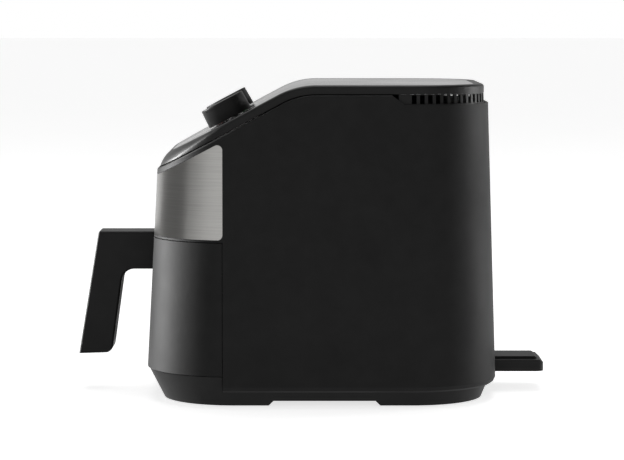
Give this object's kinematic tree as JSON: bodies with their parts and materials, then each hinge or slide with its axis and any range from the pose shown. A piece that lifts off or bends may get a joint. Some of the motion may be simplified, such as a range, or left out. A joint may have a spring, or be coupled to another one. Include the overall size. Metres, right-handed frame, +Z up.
{
  "type": "air fryer",
  "caption": "Countertop drawer air fryer with a sloping glossy top, side-by-side dials, steel band, pistol handle and rear wall spacer.",
  "frame": {"origin": "on the ground, under the middle of the whole object's box", "axes": "+Z up, X across the width, the handle side faces -Y and the wall spacer faces +Y"},
  "size_m": [0.2866, 0.4718, 0.312],
  "materials": {
    "shell_black": "fine matte moulded texture",
    "base_black": "fine matte moulded texture",
    "lid_black": "satin moulded",
    "panel_gloss": "polished",
    "band_steel": "fine brushed stainless",
    "handle_black": "matte moulded",
    "insert_rubber": "soft touch",
    "knob_black": "satin moulded",
    "pointer_white": "painted inlay",
    "aluminised_sheet": "mill finish",
    "nonstick_coat": "non-stick coating, speckled",
    "heater_rod": "heat tinted",
    "fan_aluminium": "pressed",
    "shaft_steel": "ground",
    "screw_steel": "zinc plated",
    "copper_wire": "enamelled copper",
    "lamination_steel": "laminated",
    "bronze_bush": "sintered",
    "ceramic_white": "unglazed",
    "foot_rubber": "matte",
    "silicone_black": "matte",
    "case_plastic": "moulded",
    "wire_sleeve": "braided sleeve",
    "lamp_green": "translucent",
    "lamp_red": "translucent"
  },
  "bodies": {
    "housing": {"outer_shell": "shell_black", "steel_band": "band_steel", "top_cover": "lid_black", "control_panel": "panel_gloss", "vent_grille": "lid_black", "base_skirt": "base_black", "base_plate": "base_black", "base_screws": "screw_steel", "cord_gland": "foot_rubber", "rear_spacer": "base_black", "spacer_screws": "screw_steel", "chamber_liner": "aluminised_sheet", "slide_rails": "aluminised_sheet", "air_deflector": "aluminised_sheet", "heat_shield": "aluminised_sheet", "heater_coil": "heater_rod", "heater_sleeves": "ceramic_white", "heater_brackets": "aluminised_sheet", "heater_guard": "aluminised_sheet", "motor_bridge": "aluminised_sheet", "bridge_screws": "screw_steel", "motor_stack": "lamination_steel", "motor_windings": "copper_wire", "motor_screws": "screw_steel", "motor_bushes": "foot_rubber", "motor_bearings": "bronze_bush", "thermostat_body": "case_plastic", "timer_body": "case_plastic", "control_bracket": "aluminised_sheet", "power_lamp": "lamp_green", "heating_lamp": "lamp_red", "thermostat_bulb": "copper_wire", "thermal_fuse": "ceramic_white", "terminal_block": "case_plastic", "wire_loom": "wire_sleeve", "drawer_switch": "case_plastic", "foot_front_left": "foot_rubber", "foot_front_right": "foot_rubber", "foot_rear_left": "foot_rubber", "foot_rear_right": "foot_rubber"},
    "drawer": {"drawer_front": "shell_black", "drawer_bracket": "aluminised_sheet", "pan": "nonstick_coat", "pan_screws": "screw_steel", "handle_grip": "handle_black", "handle_insert": "insert_rubber", "handle_screws": "screw_steel"},
    "crisper": {"crisper_plate": "nonstick_coat", "plate_bumpers": "silicone_black"},
    "rotor": {"fan_shaft": "shaft_steel", "fan_nut": "screw_steel", "hot_fan": "fan_aluminium", "cooling_fan": "case_plastic"},
    "temperature_dial": {"temperature_knob": "knob_black", "temperature_pointer": "pointer_white", "temperature_shaft": "shaft_steel"},
    "timer_dial": {"timer_knob": "knob_black", "timer_pointer": "pointer_white", "timer_shaft": "shaft_steel"},
    "plunger": {"switch_plunger": "lamp_red"}
  },
  "joints": [
    {"name": "drawer_slide", "type": "slide", "parent": "housing", "child": "drawer", "axis": [0, -1, 0], "range_m": [0, 0.255]},
    {"name": "plate_lift", "type": "slide", "parent": "drawer", "child": "crisper", "axis": [0, 0, 1], "range_m": [0, 0.105]},
    {"name": "temperature_turn", "type": "hinge", "parent": "housing", "child": "temperature_dial", "pos_m": [0.055, -0.07975, 0.27723], "axis": [0, 0.4695, -0.8829], "range_deg": [0, 270]},
    {"name": "timer_turn", "type": "hinge", "parent": "housing", "child": "timer_dial", "pos_m": [-0.055, -0.07975, 0.27723], "axis": [0, 0.4695, -0.8829], "range_deg": [0, 300]},
    {"name": "fan_spin", "type": "hinge", "parent": "housing", "child": "rotor", "pos_m": [0, -0.00945, 0.2], "axis": [0, 0, 1], "continuous": true},
    {"name": "switch_press", "type": "slide", "parent": "housing", "child": "plunger", "axis": [0, 1, 0], "range_m": [0, 0.002], "stiffness_N_per_m": 300}
  ]
}
